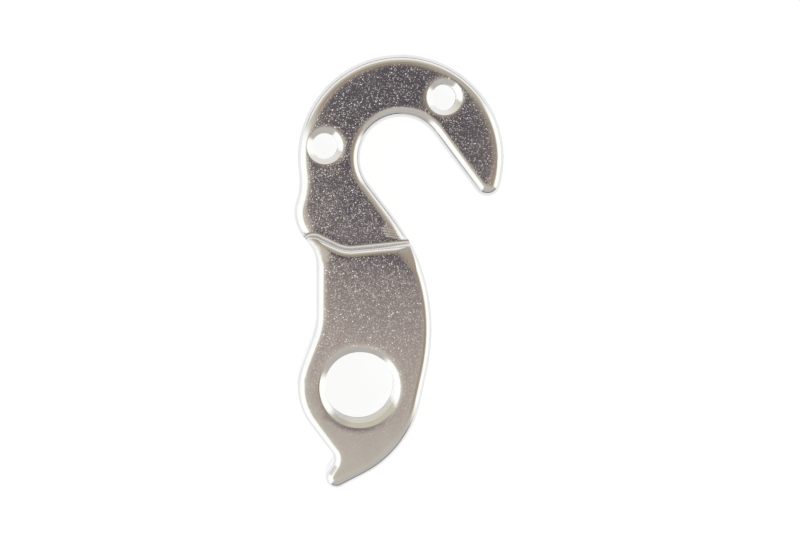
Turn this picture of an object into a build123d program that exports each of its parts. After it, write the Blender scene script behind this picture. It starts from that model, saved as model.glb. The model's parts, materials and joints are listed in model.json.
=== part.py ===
from build123d import *
import os
from math import atan2, cos, hypot, pi, radians, sin, sqrt, tan

# Rear derailleur hanger, one piece of aluminium. Millimetres.
# The origin is where the axis of the derailleur thread meets the plane of the dropout seat.
# +X is forward on the bicycle, +Y is up, +Z is outboard.

# Thickness and edges
hook_thick = 4.0          # hook, from its back face to the dropout seat
pad_rise = 3.5            # derailleur pad above the dropout seat
hook_round = 1.3          # rounding of the hook's front edge
pad_round = 1.05          # rounding of the pad's front edge
back_bevel = 0.6          # bevel of the back edge

# Hook round the wheel axle
axle_forward = 5.45       # axle from the derailleur thread
axle_up = 29.0
slot_r = 5.25             # half the width of the axle slot
slot_dip = 53.0           # the slot opens forward, this far below level, degrees
hook_r = 13.2             # outer radius about the axle
prong_r = 1.65            # round end of the prong, from the slot to the rim

# Web between the hook and the derailleur thread
heel_r = 4.6              # bulge where the hook meets the web, at the rear
heel_out = 0.45           # bulge past the rim of the hook
heel_down = 7.0           # bulge below the axle
heel_hollow_r = 8.0       # hollow between the hook and the bulge
heel_lean = 50.0          # slope under the bulge, below level, degrees
web_rear = 5.42           # rear edge of the web from the thread axis
waist_top_r = 4.4         # hollows at the two ends of the web's rear edge
waist_low_r = 8.0
waist_lean = 20.4         # slope from the web out to the boss, off upright, degrees
front_out = 9.15          # front edge from the thread axis
front_r = 24.0            # bow of the front edge, which runs into the slot
front_lean = 12.0         # slope of the front edge below the bow, off upright, degrees

# Derailleur end
boss_r = 7.85             # round the thread, at the rear
flank_lean = 53.0         # slope from the boss to the notch, below level, degrees
notch_r = 1.25            # hollow above the nose
undercut = 57.0           # upper side of the nose, below level, degrees
nose_r = 1.35             # stop nose for the derailleur's angle screw
nose_rear = 4.3           # nose behind the thread axis
nose_drop = 5.0           # nose below the boss
chin_rise = 27.0          # slope under the nose, above level, degrees
belly_r = 13.5            # round under the thread, at the front

# Step between the dropout seat and the pad
step_down = 11.55         # lowest point of the step line, below and behind the axle
step_back = 6.45
step_r = 4.5              # hollow of the step line there
horn_r = 1.5              # hump of the step line at the rear
horn_rise = 1.65          # hump above the lowest point
horn_lean = 26.0          # slope up to the hump, degrees
crest_r = 3.0             # corner of the step line at the front
crest_run = 7.2           # that corner from the lowest point
crest_rise = 0.66
crest_lean = 50.0         # slope down from that corner, degrees
step_round = 0.95         # rounding along the top of the step
step_cove = 0.45          # hollow along its foot
step_land = 0.5           # land that carries the hollow
land_run = 0.8            # slope that takes the land down over the rounded edges
rear_droop = 10.0         # slope of the pad's top down to the hump, degrees
rear_droop_at = 172.0     # direction of that slope, degrees
rear_droop_in = 1.58      # its start, inside the centre of the hump
front_droop = 8.5         # slope of the pad's top down to the front corner, degrees
front_droop_at = 47.0     # direction of that slope, degrees
front_droop_out = 0.2     # its start, outside the centre of the corner

# Threads, drilled to the tapping size
thread_drill = 9.0        # M10 x 1 for the derailleur bolt
thread_bevel = 0.5        # width of its countersinks
screw_drill = 3.3         # M4 for the two screws into the dropout
screw_bevel = 0.45
bevel_angle = 120.0       # countersink angle, degrees
rim_round = 1.2           # rounding where a countersink meets the face
rear_screw_out = 9.86     # screws from the axle, and their directions in degrees
rear_screw_at = 171.2
front_screw_out = 9.5
front_screw_at = 54.6


def heading(a, b):
    """Direction of the straight run that leaves disc a and touches disc b."""
    dx = b[0] - a[0]
    dy = b[1] - a[1]
    lean = b[2] - a[2]
    run = sqrt(max(round(dx * dx + dy * dy - lean * lean, 9), 0.0))
    return atan2(dy, dx) - atan2(lean, run)


def on_disc(disc, way):
    """Point of a disc's rim where the belt runs in the given direction."""
    x, y, r = disc
    return x + r * sin(way), y - r * cos(way)


def belt(discs):
    """Face inside a belt round discs (x, y, r), anticlockwise; a negative r is a hollow."""
    count = len(discs)
    ways = [heading(discs[i], discs[(i + 1) % count]) for i in range(count)]
    edges = []
    for i, disc in enumerate(discs):
        way_in = ways[i - 1]
        turn = (ways[i] - way_in) % (2 * pi)
        if disc[2] < 0:
            turn -= 2 * pi
        leave = on_disc(disc, way_in + turn)
        edges.append(ThreePointArc(on_disc(disc, way_in), on_disc(disc, way_in + turn / 2), leave))
        meet = on_disc(discs[(i + 1) % count], ways[i])
        if hypot(meet[0] - leave[0], meet[1] - leave[1]) > 1e-5:
            edges.append(Line(leave, meet))
    return make_face(Wire(edges))


def corner(a, way_a, b, way_b, r):
    """Disc in the corner between the run that leaves a and the run that meets b, ways in degrees."""
    turn_a = radians(way_a)
    turn_b = radians(way_b)
    start = on_disc((a[0], a[1], a[2] - r), turn_a)
    end = on_disc((b[0], b[1], b[2] - r), turn_b)
    across = (end[0] - start[0]) * sin(turn_b) - (end[1] - start[1]) * cos(turn_b)
    run = across / sin(turn_b - turn_a)
    return start[0] + run * cos(turn_a), start[1] + run * sin(turn_a), r


def hollow_between(a, b, r):
    """Hollow of radius r that touches two discs, to the right of the way from a to b."""
    dx = b[0] - a[0]
    dy = b[1] - a[1]
    apart = hypot(dx, dy)
    reach = a[2] + r
    along = (apart + (reach ** 2 - (b[2] + r) ** 2) / apart) / 2
    aside = sqrt(reach ** 2 - along ** 2)
    return a[0] + (along * dx + aside * dy) / apart, a[1] + (along * dy - aside * dx) / apart, -r


def from_axle(along, across):
    """Point given along the slot and across it, to the front, from the axle."""
    dip = radians(-slot_dip)
    x = axle_forward + along * cos(dip) - across * sin(dip)
    y = axle_up + along * sin(dip) + across * cos(dip)
    return x, y


def round_axle(radius, angle):
    """Point on a circle about the axle."""
    return axle_forward + radius * cos(radians(angle)), axle_up + radius * sin(radians(angle))


def prong_disc():
    """End of the prong, touching the slot's front side and the rim of the hook."""
    across = slot_r + prong_r
    along = sqrt((hook_r - prong_r) ** 2 - across ** 2)
    return *from_axle(along, across), prong_r


def front_disc():
    """Bow of the front edge, touching the slot's rear side and the foremost line."""
    foremost = (front_out, 0, 0)
    axle = (axle_forward, axle_up, -slot_r)
    return corner(foremost, 90, axle, 180 - slot_dip, front_r)


def outline():
    """Whole outline of the hanger, from the hook down its rear side and back up the front."""
    hook = (axle_forward, axle_up, hook_r)
    slot = (axle_forward, axle_up, -slot_r)
    heel = (axle_forward - hook_r - heel_out + heel_r, axle_up - heel_down, heel_r)
    web = (-web_rear, 0, 0)
    boss = (0, 0, boss_r)
    nose = (nose_r - nose_rear, nose_r - nose_drop - boss_r, nose_r)
    front = front_disc()
    return belt([
        hook,
        hollow_between(hook, heel, heel_hollow_r),
        heel,
        corner(heel, -heel_lean, web, -90, -waist_top_r),
        corner(web, -90, boss, -90 - waist_lean, -waist_low_r),
        boss,
        corner(boss, -flank_lean, nose, undercut - 180, -notch_r),
        nose,
        corner(nose, chin_rise, front, 90 - front_lean, belly_r),
        front,
        slot,
        prong_disc(),
    ])


def step_line():
    """Discs of the step line and, far off, of the area below it."""
    far = 2 * (axle_up + hook_r)
    low_x = axle_forward - step_back
    low_y = axle_up - step_down
    hollow = (low_x, low_y + step_r, -step_r)
    crest = (low_x + crest_run, low_y + crest_rise - crest_r, crest_r)
    crest_dip = radians(crest_lean)
    top = (low_x, low_y + horn_rise, 0)
    horn = corner(hollow, 180 - horn_lean, top, 180, horn_r)
    front = (crest[0] + far * cos(crest_dip), crest[1] - far * sin(crest_dip), crest_r)
    rear = (horn[0] - far, horn[1] - far, horn_r)
    return rear, front, crest, hollow, horn


def below_step(grow):
    """Area below the step line, grown by a margin, that takes in the whole derailleur end."""
    return belt([(x, y, r + grow) for x, y, r in step_line()])


def rounded_plate(face, low, high, front_round):
    """Plate between two levels, with its front edge rounded and its back edge bevelled."""
    plate = Pos(0, 0, low) * extrude(face, high - low)
    front = plate.faces().sort_by(Axis.Z)[-1]
    plate = fillet(front.outer_wire().edges(), front_round)
    back = plate.faces().sort_by(Axis.Z)[0]
    return chamfer(back.outer_wire().edges(), back_bevel)


def rounded_step(low, high):
    """Block below the step line, rounded along its top and hollowed along its foot."""
    skirt = Pos(0, 0, -hook_round) * below_step(step_land + land_run)
    land = loft([skirt, below_step(step_land)], ruled=True)
    block = land + extrude(skirt, low + hook_round) + extrude(below_step(0), high)
    top = block.faces().sort_by(Axis.Z)[-1]
    block = fillet(top.outer_wire().edges(), step_round)
    ledge = block.faces().filter_by(Plane.XY).sort_by(Axis.Z)[1]
    return fillet(ledge.inner_wires()[0].edges(), step_cove)


def droop(disc, high, at, out, lean):
    """Block above a slope of the pad's top, which starts at a distance out from a disc's centre."""
    x, y, _ = disc
    start = Pos(x, y, high) * Rot(0, 0, at) * Pos(out, 0, 0) * Rot(0, lean, 0)
    return start * Box(hook_r, 2 * hook_r, hook_r, align=(Align.MIN, Align.CENTER, Align.MIN))


def drooping_pad(whole, low, high):
    """Derailleur pad up to the step line, with its top sloped at both ends of the step."""
    pad = rounded_plate(whole, low, high, pad_round) & rounded_step(2 * low, high)
    _, _, crest, _, horn = step_line()
    pad -= droop(horn, high, rear_droop_at, -rear_droop_in, rear_droop)
    return pad - droop(crest, high, front_droop_at, front_droop_out, front_droop)


def half_drill(drill, bevel, reach):
    """Half of a drill with a countersink whose rim is rounded, up from its middle by reach."""
    wide = drill / 2 + bevel
    deep = bevel / tan(radians(bevel_angle / 2))
    over = reach + rim_round
    rim = (wide, reach)
    side = Polyline(
        (0, 0),
        (drill / 2, 0),
        (drill / 2, reach - deep),
        rim,
        (wide + rim_round, reach),
        (wide + rim_round, over),
        (0, over),
        (0, 0),
    )
    profile = make_face(side)
    profile = fillet(profile.vertices().sort_by_distance(rim)[0], rim_round)
    return revolve(Plane.XZ * profile, Axis.Z)


def tapped_hole(x, y, low, high, drill, bevel):
    """Drilled hole with a countersink at each end."""
    half = half_drill(drill, bevel, (high - low) / 2)
    return Pos(x, y, (low + high) / 2) * (half + Rot(180, 0, 0) * half)


def hanger():
    """Hook plate and derailleur pad as one body, with the three threads drilled."""
    back = -hook_thick
    whole = outline()
    plate = rounded_plate(whole, back, 0, hook_round)
    body = plate + drooping_pad(whole, back, pad_rise)
    body -= tapped_hole(0, 0, back, pad_rise, thread_drill, thread_bevel)
    rear_x, rear_y = round_axle(rear_screw_out, rear_screw_at)
    body -= tapped_hole(rear_x, rear_y, back, 0, screw_drill, screw_bevel)
    front_x, front_y = round_axle(front_screw_out, front_screw_at)
    body -= tapped_hole(front_x, front_y, back, 0, screw_drill, screw_bevel)
    return body


os.makedirs("parts", exist_ok=True)
part = hanger()
export_step(part, "parts/derailleur_hanger.step")
print("volume", round(part.volume, 1), "solids", len(part.solids()), "valid", part.is_valid)
print("size", part.bounding_box().size)
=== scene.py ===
# %% [markdown]
# A rear derailleur hanger is the small plate that carries the derailleur of a bicycle. It is
# made of aluminium, so that it bends before the frame does. This lesson dresses its solid model:
# it cuts the real threads and tool marks, gives the metal its blasted finish and lights the part
# the way a shop photographs small bright things.

# %% Load the solid model
import bmesh
import bpy
import json
from math import cos, radians, sin, tan
from mathutils import Matrix, Vector


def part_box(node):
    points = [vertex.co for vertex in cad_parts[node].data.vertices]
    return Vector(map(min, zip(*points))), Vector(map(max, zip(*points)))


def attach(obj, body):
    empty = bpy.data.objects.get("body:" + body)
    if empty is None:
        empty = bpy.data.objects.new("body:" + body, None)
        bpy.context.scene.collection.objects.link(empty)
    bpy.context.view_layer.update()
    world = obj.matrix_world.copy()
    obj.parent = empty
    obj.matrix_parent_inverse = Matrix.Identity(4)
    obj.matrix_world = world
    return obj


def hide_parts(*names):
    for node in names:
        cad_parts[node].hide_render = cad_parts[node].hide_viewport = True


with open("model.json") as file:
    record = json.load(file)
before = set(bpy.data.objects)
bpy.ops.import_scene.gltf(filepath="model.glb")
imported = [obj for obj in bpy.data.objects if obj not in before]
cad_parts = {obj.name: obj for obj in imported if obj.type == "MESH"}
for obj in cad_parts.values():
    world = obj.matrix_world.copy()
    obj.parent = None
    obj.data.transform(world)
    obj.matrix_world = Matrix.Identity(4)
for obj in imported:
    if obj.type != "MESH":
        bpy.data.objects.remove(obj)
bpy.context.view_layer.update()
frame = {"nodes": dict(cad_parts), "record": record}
MM = 0.001

# %% [markdown]
# The solid comes in as loose triangles. A copy of it is merged into one closed skin, because
# the cutting tools of the next steps can only cut a closed body. The solid itself stays as it is,
# hidden, and the copy stands in its place, so every size still comes from the solid.

# %% Merge a copy of the solid
def link(obj):
    """Puts an object into the scene."""
    bpy.context.scene.collection.objects.link(obj)
    return obj


def merged_copy(node, name, tolerance):
    """Copy of a node's mesh with its loose triangles joined and no stored normals."""
    work = bmesh.new()
    work.from_mesh(frame["nodes"][node].data)
    bmesh.ops.remove_doubles(work, verts=work.verts, dist=tolerance)
    mesh = bpy.data.meshes.new(name)
    work.to_mesh(mesh)
    open_edges = sum(not e.is_manifold for e in work.edges)
    work.free()
    if "custom_normal" in mesh.attributes:
        mesh.attributes.remove(mesh.attributes["custom_normal"])
    print(name, len(mesh.polygons), "faces,", open_edges, "open edges")
    return link(bpy.data.objects.new(name, mesh))


hanger = merged_copy("derailleur_hanger", "hanger_body", tolerance=0.0002 * MM)
aluminium = bpy.data.materials.new("blasted_aluminium")

# %% [markdown]
# Threads and tool marks are both made by something that moves along a path and takes metal away.
# Geometry Nodes can sweep a profile along a curve and subtract it, with every size as an input.
# The helpers below add nodes in one line each, and run a finished tree on a body.

# %% Helpers for cutting trees
class Tree:
    """Node tree of a cutting tool, with one way to add nodes and to join them."""

    def __init__(self, name, inputs):
        self.group = bpy.data.node_groups.new(name, "GeometryNodeTree")
        face = self.group.interface
        face.new_socket("Geometry", in_out="INPUT", socket_type="NodeSocketGeometry")
        for label, kind in inputs.items():
            face.new_socket(label, in_out="INPUT", socket_type="NodeSocket" + kind)
        face.new_socket("Finish", in_out="INPUT", socket_type="NodeSocketMaterial")
        face.new_socket("Geometry", in_out="OUTPUT", socket_type="NodeSocketGeometry")
        self.given = self.add("NodeGroupInput").outputs

    def add(self, kind, settings=None, sockets=None):
        node = self.group.nodes.new(kind)
        for key, value in (settings or {}).items():
            setattr(node, key, value)
        for key, value in (sockets or {}).items():
            if isinstance(value, bpy.types.NodeSocket):
                self.group.links.new(value, node.inputs[key])
            else:
                node.inputs[key].default_value = value
        return node

    def math(self, operation, a, b):
        return self.add("ShaderNodeMath", {"operation": operation}, {0: a, 1: b}).outputs[0]

    def vector(self, operation, a, b, c=(0, 0, 0)):
        node = self.add("ShaderNodeVectorMath", {"operation": operation}, {0: a, 1: b, 2: c})
        return node.outputs[0]

    def subtract(self, cutters):
        """Takes the cutters away from the given body, one by one, and hands out the result."""
        cut = self.given["Geometry"]
        for cutter in cutters:
            cut = self.add("GeometryNodeMeshBoolean", {"operation": "DIFFERENCE", "solver": "EXACT"},
                           {"Mesh 1": cut, "Mesh 2": cutter}).outputs["Mesh"]
        real = self.add("GeometryNodeRealizeInstances", None, {"Geometry": cut})
        done = self.add("GeometryNodeSetMaterial", None,
                        {"Geometry": real.outputs["Geometry"], "Material": self.given["Finish"]})
        self.add("NodeGroupOutput", None, {"Geometry": done.outputs["Geometry"]})


def run_tree(obj, tree, values):
    """Runs a tree on a body and keeps the result as a plain mesh."""
    tool = obj.modifiers.new("tool", "NODES")
    tool.node_group = tree.group
    for item in tree.group.interface.items_tree:
        if item.in_out == "INPUT" and item.name in values:
            tool[item.identifier] = values[item.name]
    obj.update_tag()
    ready = obj.evaluated_get(bpy.context.evaluated_depsgraph_get())
    cut = bpy.data.meshes.new_from_object(ready)
    obj.modifiers.remove(tool)
    obj.data = cut
    print(tree.group.name, "leaves", len(cut.polygons), "faces")


# %% [markdown]
# A tap cuts a thread by screwing a row of teeth through a drilled hole whose mouth is countersunk.
# The tree does the same: it opens the mouth with a crisp cone and sweeps one tooth along a helix.
# The helix could be modelled by hand or with a Screw modifier, but a tree with pitch, radii and
# turns as inputs taps the coarse and the fine hole alike.

# %% Tree that taps a hole
FLANK_SLOPE = radians(30)
TIP_WIDTH = 1 / 8
OVERLAP = 0.08
STEPS_A_TURN = 56
MOUTH_SLOPE = radians(30)
MOUTH_SIDES = 128
MOUTH_START = 0.8


def tooth(tree):
    """Tooth that cuts out to the thread's full radius. Its X points to the hole's axis.

    The width of its tip and its overlap with the hole are shares of the pitch.
    """
    pitch = tree.given["Pitch"]
    depth = tree.math("SUBTRACT", tree.given["Drill radius"], tree.given["Thread radius"])
    tip = tree.math("MULTIPLY", pitch, TIP_WIDTH / 2)
    inside = tree.math("MULTIPLY", pitch, OVERLAP)
    flank = tree.math("MULTIPLY", tree.math("SUBTRACT", inside, depth), tan(FLANK_SLOPE))
    root = tree.math("ADD", tip, flank)
    corners = {}
    sides = ((inside, root, 1), (depth, tip, 1), (depth, tip, -1), (inside, root, -1))
    for i, (radial, axial, side) in enumerate(sides):
        height = tree.math("MULTIPLY", axial, side)
        corner = tree.add("ShaderNodeCombineXYZ", None, {"X": radial, "Y": height})
        corners["Point %d" % (i + 1)] = corner.outputs[0]
    shape = tree.add("GeometryNodeCurvePrimitiveQuadrilateral", {"mode": "POINTS"}, corners)
    return shape.outputs["Curve"]


def mouth(tree):
    """Cone of the countersink, from a share of the hole's radius to a little above the face."""
    above = 0.3 * MM
    inside = tree.math("MULTIPLY", tree.given["Drill radius"], MOUTH_START)
    reach = tree.math("SUBTRACT", tree.given["Mouth radius"], inside)
    below = tree.math("MULTIPLY", reach, tan(MOUTH_SLOPE))
    cone = tree.add("GeometryNodeMeshCone", None, {
        "Vertices": MOUTH_SIDES, "Depth": tree.math("ADD", below, above), "Radius Bottom": inside,
        "Radius Top": tree.math("ADD", tree.given["Mouth radius"], above / tan(MOUTH_SLOPE))})
    foot = tree.add("ShaderNodeCombineXYZ", None, {"Z": tree.math("MULTIPLY", below, -1.0)}).outputs[0]
    placed = tree.add("GeometryNodeTransform", None, {
        "Geometry": cone.outputs["Mesh"], "Translation": tree.vector("ADD", tree.given["Face"], foot)})
    return placed.outputs["Geometry"]


def tap_tree():
    tree = Tree("tap", {"Start": "Vector", "Face": "Vector", "Pitch": "Float", "Drill radius": "Float",
                        "Thread radius": "Float", "Mouth radius": "Float", "Turns": "Float"})
    turns = tree.given["Turns"]
    drill_r = tree.given["Drill radius"]
    helix = tree.add("GeometryNodeCurveSpiral", None, {
        "Resolution": STEPS_A_TURN, "Rotations": turns, "Start Radius": drill_r, "End Radius": drill_r,
        "Height": tree.math("MULTIPLY", turns, tree.given["Pitch"])})
    upright = tree.add("GeometryNodeSetCurveNormal", {"mode": "Z_UP"}, {"Curve": helix.outputs["Curve"]})
    sweep = tree.add("GeometryNodeCurveToMesh", None, {
        "Curve": upright.outputs["Curve"], "Profile Curve": tooth(tree), "Fill Caps": True})
    placed = tree.add("GeometryNodeTransform", None, {
        "Geometry": sweep.outputs["Mesh"], "Translation": tree.given["Start"]})
    tree.subtract([mouth(tree), placed.outputs["Geometry"]])
    return tree


tap = tap_tree()
print("tap tree:", len(tap.group.nodes), "nodes")

# %% [markdown]
# The derailleur bolt is M10 with a fine pitch of 1 mm. The two screws into the frame are M4 with
# a pitch of 0.7 mm. Each tap starts one turn below the back and runs out one turn above the front,
# as a through tap does. The places come from the mounts in the part's own record.

# %% Tap the three holes
mounts = {m["name"]: m for m in frame["record"]["mounts"]}
low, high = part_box("derailleur_hanger")


def tap_hole(mount, face, pitch, thread_r, mouth_r):
    """Taps the hole of a mount through the whole part, with its mouth in the face at that height."""
    x, y, _ = mounts[mount]["pos_m"]
    run_tree(hanger, tap, {
        "Start": (x, y, low.z - pitch), "Face": (x, y, face), "Pitch": pitch,
        "Turns": (high.z - low.z) / pitch + 2, "Drill radius": mounts[mount]["dims"]["r_mm"] * MM,
        "Thread radius": thread_r, "Mouth radius": mouth_r, "Finish": aluminium})


tap_hole("derailleur_thread", high.z, pitch=1.0 * MM, thread_r=5.0 * MM, mouth_r=5.15 * MM)
tap_hole("rear_screw_thread", 0.0, pitch=0.7 * MM, thread_r=2.0 * MM, mouth_r=2.32 * MM)
tap_hole("front_screw_thread", 0.0, pitch=0.7 * MM, thread_r=2.0 * MM, mouth_r=2.32 * MM)

# %% [markdown]
# Close to the step the cutter has left a few ribs on the seat, and there are fine scratches on the
# pad. They could be a bump, but then they would stay flat at the edges. Here a ball-nosed tool runs
# along wavy lines, a fraction of a millimetre deep, and rises out of the metal at both ends.

# %% Tree that scores lines
LINE_POINTS = 28
WAVES = 1.4 / MM
TOOL_SIDES = 20
END_LIFT = 1.3


def wavy_lines(tree):
    """Lines side by side: their curves, the places of their points and a value that grows to the ends."""
    given = tree.given
    straight = tree.add("GeometryNodeCurvePrimitiveLine", None, {"Start": (0, 0, 0), "End": (MM, 0, 0)})
    fine = tree.add("GeometryNodeResampleCurve", None, {"Curve": straight.outputs[0], "Count": LINE_POINTS})
    many = tree.add("GeometryNodeDuplicateElements", {"domain": "SPLINE"},
                    {"Geometry": fine.outputs[0], "Amount": given["Lines"]})
    share = tree.add("GeometryNodeSplineParameter").outputs["Factor"]
    index = many.outputs["Duplicate Index"]
    begin = tree.vector("MULTIPLY_ADD", given["Start step"], index, given["Start"])
    end = tree.vector("MULTIPLY_ADD", given["End step"], index, given["End"])
    place = tree.vector("MULTIPLY_ADD", tree.vector("SUBTRACT", end, begin), share, begin)
    noise = tree.add("ShaderNodeTexNoise", None, {"Vector": place, "Scale": WAVES, "Detail": 2.0})
    wave = tree.vector("SUBTRACT", noise.outputs["Color"], (0.5, 0.5, 0.5))
    place = tree.vector("MULTIPLY_ADD", wave, given["Wave"], place)
    middle = tree.math("SUBTRACT", tree.math("MULTIPLY", share, 2.0), 1.0)
    square = tree.math("MULTIPLY", middle, middle)
    ends = tree.math("MULTIPLY", square, square)
    return many.outputs["Geometry"], place, ends


def score_tree():
    """Tree that dips a round tool in by Depth and lifts it out at the ends of each line."""
    tree = Tree("score", {"Start": "Vector", "End": "Vector", "Start step": "Vector", "End step": "Vector",
                          "Lines": "Int", "Tool radius": "Float", "Depth": "Float", "Wave": "Vector"})
    lines, place, ends = wavy_lines(tree)
    sunk = tree.math("SUBTRACT", tree.given["Tool radius"], tree.given["Depth"])
    rise = tree.math("MULTIPLY", ends, tree.math("MULTIPLY", tree.given["Depth"], END_LIFT))
    lift = tree.math("ADD", sunk, rise)
    offset = tree.add("ShaderNodeCombineXYZ", None, {"Z": lift}).outputs[0]
    path = tree.add("GeometryNodeSetPosition", None, {
        "Geometry": lines, "Position": tree.vector("ADD", place, offset)})
    ball = tree.add("GeometryNodeCurvePrimitiveCircle", None, {
        "Resolution": TOOL_SIDES, "Radius": tree.given["Tool radius"]})
    sweep = tree.add("GeometryNodeCurveToMesh", None, {
        "Curve": path.outputs[0], "Profile Curve": ball.outputs[0], "Fill Caps": True})
    tree.subtract([sweep.outputs["Mesh"]])
    return tree


score = score_tree()
print("score tree:", len(score.group.nodes), "nodes")

# %% [markdown]
# The four ribs lie about 0.35 mm apart. The two scratches are single lines.

# %% Score the tool marks and scratches
def score_lines(start, end, tool_r, depth, wave, lines=1, start_step=(0, 0, 0), end_step=(0, 0, 0)):
    """Scores lines given in millimetres. Each next line starts and ends one step further."""
    values = {"Start": start, "End": end, "Start step": start_step, "End step": end_step, "Wave": wave}
    values = {key: Vector(value) * MM for key, value in values.items()}
    values.update({"Lines": lines, "Tool radius": tool_r * MM, "Depth": depth * MM, "Finish": aluminium})
    run_tree(hanger, score, values)


SEAT, PAD = 0.0, high.z / MM
score_lines((2.75, 20.1, SEAT), (5.0, 19.75, SEAT), tool_r=0.15, depth=0.07, wave=(0.0, 0.12, 0.03),
            lines=4, start_step=(0.19, -0.34, 0), end_step=(0.2, -0.33, 0))
score_lines((-0.25, 13.4, PAD), (2.35, 11.2, PAD), tool_r=0.12, depth=0.015, wave=(0.0, 0.05, 0.01))
score_lines((2.0, 14.25, PAD), (6.0, 13.0, PAD), tool_r=0.12, depth=0.01, wave=(0.0, 0.1, 0.01))

# %% [markdown]
# A mesh is made of flat faces, and smooth shading hides that on the rounded edges. Edges steeper
# than the steps of those roundings stay sharp. Weighted normals let the large flat faces decide at
# their rims, so the flats shade flat.

# %% Smooth the skin
def smooth_skin(obj, sharp_angle):
    obj.data.shade_smooth()
    obj.data.set_sharp_from_angle(angle=radians(sharp_angle))
    weigh = obj.modifiers.new("weigh", "WEIGHTED_NORMAL")
    weigh.keep_sharp = True
    ready = obj.evaluated_get(bpy.context.evaluated_depsgraph_get())
    skin = bpy.data.meshes.new_from_object(ready)
    obj.modifiers.remove(weigh)
    obj.data = skin
    print("sharp edges:", sum(e.use_edge_sharp for e in skin.edges), "of", len(skin.edges))


smooth_skin(hanger, sharp_angle=11)
hanger.data.materials.clear()
hanger.data.materials.append(aluminium)
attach(hanger, "root")
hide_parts("derailleur_hanger")

# %% [markdown]
# Shader maths reads best as plain expressions. The small class below wraps a socket, so that
# adding or multiplying two values adds the Math node that does it. Colours and directions go
# through Mix and Vector Math instead, because a Math node keeps only one number.

# %% Shader expressions
class Value:
    """A socket in a shader tree that can be used in Python expressions."""

    def __init__(self, shader, socket):
        self.shader = shader
        self.socket = socket

    def maths(self, operation, a, b):
        return self.shader.node("ShaderNodeMath", {"operation": operation}, {0: a, 1: b})

    def __add__(self, other):
        return self.maths("ADD", self, other)

    def __sub__(self, other):
        return self.maths("SUBTRACT", self, other)

    def __rsub__(self, other):
        return self.maths("SUBTRACT", other, self)

    def __mul__(self, other):
        return self.maths("MULTIPLY", self, other)

    __radd__ = __add__
    __rmul__ = __mul__


class Shader:
    """A material's or the world's node tree, emptied, with one way to add any node."""

    def __init__(self, owner):
        owner.use_nodes = True
        self.tree = owner.node_tree
        self.tree.nodes.clear()

    def node(self, kind, settings=None, sockets=None, out=0):
        node = self.tree.nodes.new(kind)
        for key, value in (settings or {}).items():
            if key == "stops":
                self.stops(node.color_ramp, value)
            else:
                setattr(node, key, value)
        for key, value in (sockets or {}).items():
            if isinstance(value, Value):
                self.tree.links.new(value.socket, node.inputs[key])
            else:
                node.inputs[key].default_value = value
        return Value(self, node.outputs[out]) if len(node.outputs) else node

    def stops(self, ramp, stops):
        while len(ramp.elements) < len(stops):
            ramp.elements.new(1.0)
        for element, (place, colour) in zip(ramp.elements, stops):
            element.position = place
            element.color = (*colour, 1.0)

    def vector(self, operation, a, b=(0, 0, 0), c=(0, 0, 0), out="Vector"):
        return self.node("ShaderNodeVectorMath", {"operation": operation}, {0: a, 1: b, 2: c}, out)

    def part(self, vector, axis):
        return self.node("ShaderNodeSeparateXYZ", None, {0: vector}, axis)

    def mix(self, factor, a, b):
        """Colour between two colours."""
        colours = [c if isinstance(c, Value) else (*c, 1.0) for c in (a, b)]
        return self.node("ShaderNodeMix", {"data_type": "RGBA"}, {0: factor, 6: colours[0], 7: colours[1]}, 2)

    def step(self, value, low_end, high_end):
        """Smooth step of a value from 0 to 1 between two ends."""
        return self.node("ShaderNodeMapRange", {"interpolation_type": "SMOOTHSTEP"},
                         {"Value": value, "From Min": low_end, "From Max": high_end})


# %% [markdown]
# The hanger is blasted with fine grit. Most grains of the surface lie almost flat and a few lean
# several degrees, and those sparkle. A noise bump would lean every grain alike, so each cell of a
# Voronoi pattern gets its own lean, and a high power keeps most of them small. Only grains that lean
# to the left catch the lamp there, so only those are made. Toward the lower end they are worn.

# %% Grains of the blasted surface
GRAIN = 0.1 * MM
SQUARINGS = 4
WORN_ENDS = (9 * MM, -9 * MM)
LEVEL_ENDS = (0.988, 0.999)


def grain_lean(shader, place, up, tilt):
    """Sideways lean of each grain on level metal, rare and strong."""
    rare = shader.node("ShaderNodeTexVoronoi", {"voronoi_dimensions": "3D"},
                       {"Vector": place, "Scale": 1 / GRAIN}, "Color")
    for _ in range(SQUARINGS):
        rare = shader.vector("MULTIPLY", rare, rare)
    worn = shader.step(shader.part(place, "Y"), *WORN_ENDS)
    lively = shader.step(up * up, *LEVEL_ENDS) * (1.0 - 0.6 * worn)
    sideways = shader.node("ShaderNodeCombineXYZ", None, {"X": lively * tilt[0], "Y": lively * tilt[1]})
    return shader.vector("MULTIPLY", rare, sideways)


# %% [markdown]
# Tumbling rolls the flats off a little toward their rims, though hardly in the corner at the foot
# of the step. The drop is a few hundredths of a millimetre, too little to model, but bright metal
# shows it as a warm blush. The Bevel node gives the normal of a softened edge, and a share of it is
# blended in on the flats. Faint stains change the colour and the roughness from place to place.

# %% Blasted aluminium
ROLL = 1.3 * MM
FOOT = 18.4 * MM
STAINS = 0.35 / MM
BRIGHT = (0.80, 0.80, 0.815)
STAINED = (0.77, 0.77, 0.785)


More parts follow.
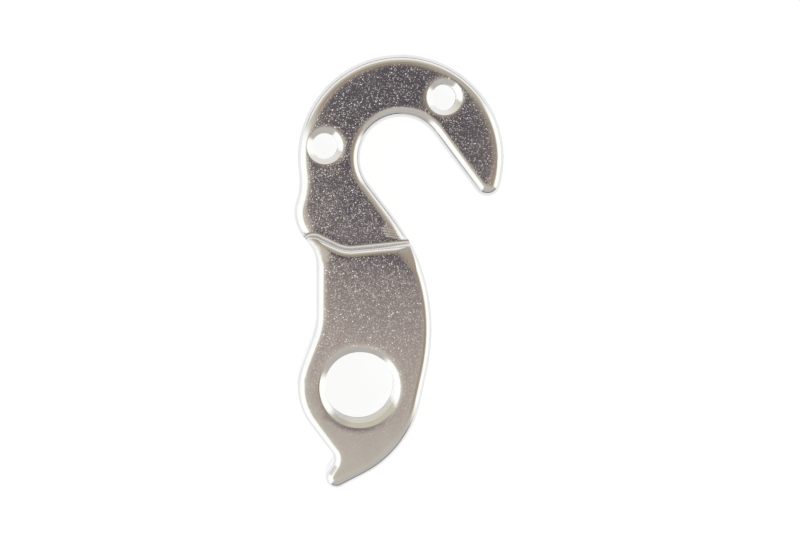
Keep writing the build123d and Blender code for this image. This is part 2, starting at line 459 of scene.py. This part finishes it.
def blasted_aluminium(material, tilt, roll_share):
    shader = Shader(material)
    place = shader.node("ShaderNodeTexCoord", out="Object")
    straight = shader.node("ShaderNodeNewGeometry", out="Normal")
    up = shader.part(straight, "Z")
    rolled = shader.node("ShaderNodeBevel", {"samples": 8}, {"Radius": ROLL})
    low_down = shader.step(shader.part(place, "Z"), 1 * MM, 0.0)
    corner = shader.step(shader.part(place, "Y"), FOOT + 2 * MM, FOOT) * low_down
    share = shader.step(up * up, 0.8, 0.98) * (1.0 - 0.8 * corner) * roll_share
    shares = shader.node("ShaderNodeCombineXYZ", None, {"X": share, "Y": share, "Z": share})
    blend = shader.vector("MULTIPLY_ADD", rolled, shares, straight)
    leant = shader.vector("ADD", shader.vector("NORMALIZE", blend), grain_lean(shader, place, up, tilt))
    stain = shader.node("ShaderNodeTexNoise", None, {"Vector": place, "Scale": STAINS, "Detail": 4.0})
    stain = shader.step(stain, 0.35, 0.7)
    surface = shader.node("ShaderNodeBsdfPrincipled", None, {
        "Base Color": shader.mix(stain, BRIGHT, STAINED), "Metallic": 1.0,
        "Roughness": 0.12 + 0.025 * stain, "Normal": shader.vector("NORMALIZE", leant)})
    shader.node("ShaderNodeOutputMaterial", None, {"Surface": surface})
    print(material.name, len(shader.tree.nodes), "nodes")


blasted_aluminium(aluminium, tilt=(-0.3, -0.1), roll_share=0.6)

# %% [markdown]
# A small bright part is photographed on a white table under a light tent, a dome of white cloth.
# The table glows for rays that look at it, straight or in a reflection, so it comes out white in
# the picture while its grey paint still takes the part's faint shadow.

# %% Table
def stage_object(name, work):
    """Object of a bmesh, set up as stage, with a material of the same name."""
    mesh = bpy.data.meshes.new(name)
    work.to_mesh(mesh)
    work.free()
    obj = link(bpy.data.objects.new(name, mesh))
    mesh.materials.append(bpy.data.materials.new(name))
    return obj


def seen_rays(shader):
    """One for rays that look at the table, straight or in a reflection."""
    rays = [shader.node("ShaderNodeLightPath", out="Is %s Ray" % kind)
            for kind in ("Camera", "Glossy", "Transmission")]
    return rays[0] + rays[1] + rays[2]


def table(half_size, shade, glow_level):
    work = bmesh.new()
    bmesh.ops.create_grid(work, x_segments=1, y_segments=1, size=half_size)
    bmesh.ops.translate(work, verts=work.verts, vec=(0, 0, low.z - 0.1 * MM))
    shader = Shader(stage_object("white_table", work).data.materials[0])
    paint = shader.node("ShaderNodeBsdfDiffuse", None, {"Color": (shade, shade, shade, 1.0)})
    glow = shader.node("ShaderNodeEmission", None, {
        "Color": (1, 1, 1, 1), "Strength": glow_level * seen_rays(shader)})
    both = shader.node("ShaderNodeAddShader", None, {0: paint, 1: glow})
    shader.node("ShaderNodeOutputMaterial", None, {"Surface": both})
    print("table", 2 * half_size, "m wide")


table(half_size=3.0, shade=0.20, glow_level=0.9)

# %% [markdown]
# Bright metal shows nothing but its surroundings, so the tent decides how every edge looks. It has
# a dark opening above the part, where the camera looks in, and a warm ring of cloth about it that
# gets lighter outward. At the back and on the right the cloth stays brown for longer, apart from a
# lighter seam. White lamps stand behind the cloth on the left and the right, the light from the back
# comes in low, and all round the cloth ends in a dark gap above the table, which is taller in front.

# %% Light tent
OPENING = (0.053, 0.06, 0.0)
OPENING_SIZE = (0.06, 0.075)
RING = [
    (0.00, (0.06, 0.057, 0.072)),
    (0.20, (0.065, 0.062, 0.082)),
    (0.25, (0.096, 0.089, 0.108)),
    (0.345, (0.335, 0.27, 0.245)),
    (0.46, (0.44, 0.37, 0.33)),
    (0.56, (0.53, 0.48, 0.42)),
    (0.90, (0.58, 0.54, 0.43)),
]
RING_REACH = 5.0
BROWN = (0.34, 0.275, 0.195)
PALE_BROWN = (0.60, 0.56, 0.44)
SEAM = (0.46, 0.42, 0.35)
FRONT = (0.52, 0.50, 0.46)
BACK = (0.95, 0.94, 0.9)
DARK = (0.1, 0.1, 0.1)
WHITE = (1.12, 1.12, 1.07)
SIDE_BLUR = 0.06
TOP_BLUR = 0.09


def panel(shader, ground, level, toward, half_width, top):
    """One on a panel of the cloth that reaches from its top down to the table.

    Its direction and half width are in degrees. Its top is a level, 0 overhead and 1 at the table.
    """
    way = (cos(radians(toward)), sin(radians(toward)), 0.0)
    along = shader.vector("DOT_PRODUCT", ground, way, out="Value")
    side = cos(radians(half_width))
    across = shader.step(along, side - SIDE_BLUR, side + SIDE_BLUR)
    return across * shader.step(level, top, top + TOP_BLUR)


def tent_cloth(shader):
    """Colour of the tent by direction from its middle."""
    unit = shader.vector("NORMALIZE", shader.node("ShaderNodeTexCoord", out="Object"))
    up = shader.part(unit, "Z")
    flat = shader.vector("MULTIPLY", unit, (1, 1, 0))
    ground = shader.vector("NORMALIZE", flat)
    level = shader.vector("LENGTH", flat, out="Value")
    size = (1 / OPENING_SIZE[0], 1 / OPENING_SIZE[1], 0)
    apart = shader.vector("MULTIPLY", shader.vector("SUBTRACT", flat, OPENING), size)
    far = shader.vector("LENGTH", apart, out="Value")
    cloth = shader.node("ShaderNodeValToRGB", {"stops": RING}, {"Fac": far * (1 / RING_REACH)})
    dusk = panel(shader, ground, level, toward=50, half_width=95, top=0.16)
    brown = shader.mix(shader.step(level, 0.4, 0.85), BROWN, PALE_BROWN)
    cloth = shader.mix(dusk, cloth, brown)
    seam = panel(shader, ground, level, toward=47, half_width=16, top=0.2)
    cloth = shader.mix(seam, cloth, SEAM)
    front = panel(shader, ground, level, toward=-80, half_width=50, top=0.3)
    cloth = shader.mix(front, cloth, FRONT)
    back = panel(shader, ground, level, toward=90, half_width=65, top=0.81)
    cloth = shader.mix(back, cloth, BACK)
    gap = (1.0 - shader.step(up, 0.05, 0.2 + 0.27 * front)) * 0.85
    cloth = shader.mix(gap, cloth, DARK)
    left = panel(shader, ground, level, toward=196, half_width=37, top=0.36)
    right = panel(shader, ground, level, toward=3, half_width=28, top=0.66)
    return shader.mix(left + right, cloth, WHITE)


def tent(radius, brightness):
    work = bmesh.new()
    bmesh.ops.create_uvsphere(work, u_segments=48, v_segments=24, radius=radius)
    below = [v for v in work.verts if v.co.z < -0.01 * radius]
    bmesh.ops.delete(work, geom=below, context="VERTS")
    obj = stage_object("light_tent", work)
    obj.visible_camera = False
    cloth = obj.data.materials[0]
    cloth.cycles.emission_sampling = "NONE"
    shader = Shader(cloth)
    glow = shader.node("ShaderNodeEmission", None, {"Color": tent_cloth(shader), "Strength": brightness})
    shader.node("ShaderNodeOutputMaterial", None, {"Surface": glow})
    print("tent", radius, "m,", len(shader.tree.nodes), "nodes")


tent(radius=0.8, brightness=1.14)

# %% [markdown]
# Outside the tent the room is plain white.

# %% Room
def white_room():
    world = bpy.data.worlds.new("white_room")
    bpy.context.scene.world = world
    shader = Shader(world)
    air = shader.node("ShaderNodeBackground", None, {"Color": (1, 1, 1, 1), "Strength": 1.0})
    shader.node("ShaderNodeOutputWorld", None, {"Surface": air})
    print("world:", world.name)


white_room()

# %% [markdown]
# The part lies on its back and the camera looks down on it from 300 mm, a usual distance for a
# macro lens. The sides of the holes show where it stands: they lean away from the point straight
# below it. The lens then follows from the scale of the picture, in pixels for each millimetre.

# %% Camera
PICTURE = (800, 533)
SCALE = 7.75
DISTANCE = 300.0
BELOW = (277, 146)
SENSOR = 36.0


def look(eye, target, up):
    """Camera matrix at eye that looks at target with the given up direction."""
    ahead = (target - eye).normalized()
    right = ahead.cross(up).normalized()
    turn = Matrix((right, right.cross(ahead), -ahead)).transposed()
    return Matrix.Translation(eye) @ turn.to_4x4()


def camera(eye):
    lens = bpy.data.cameras.new("camera")
    lens.sensor_width = SENSOR
    lens.lens = SENSOR * SCALE * DISTANCE / PICTURE[0]
    lens.clip_start = 0.01
    obj = link(bpy.data.objects.new("camera", lens))
    across = (PICTURE[0] / 2 - BELOW[0]) / SCALE
    down = (PICTURE[1] / 2 - BELOW[1]) / SCALE
    target = eye + Vector((across, -down, -DISTANCE))
    obj.matrix_world = look(eye * MM, target * MM, Vector((0, 1, 0)))
    print("lens", round(lens.lens, 1), "mm, target", [round(v, 2) for v in target])
    return obj


bpy.context.scene.camera = camera(Vector((-10.4, 30.5, DISTANCE + low.z / MM)))
bpy.context.scene.view_settings.view_transform = "Standard"
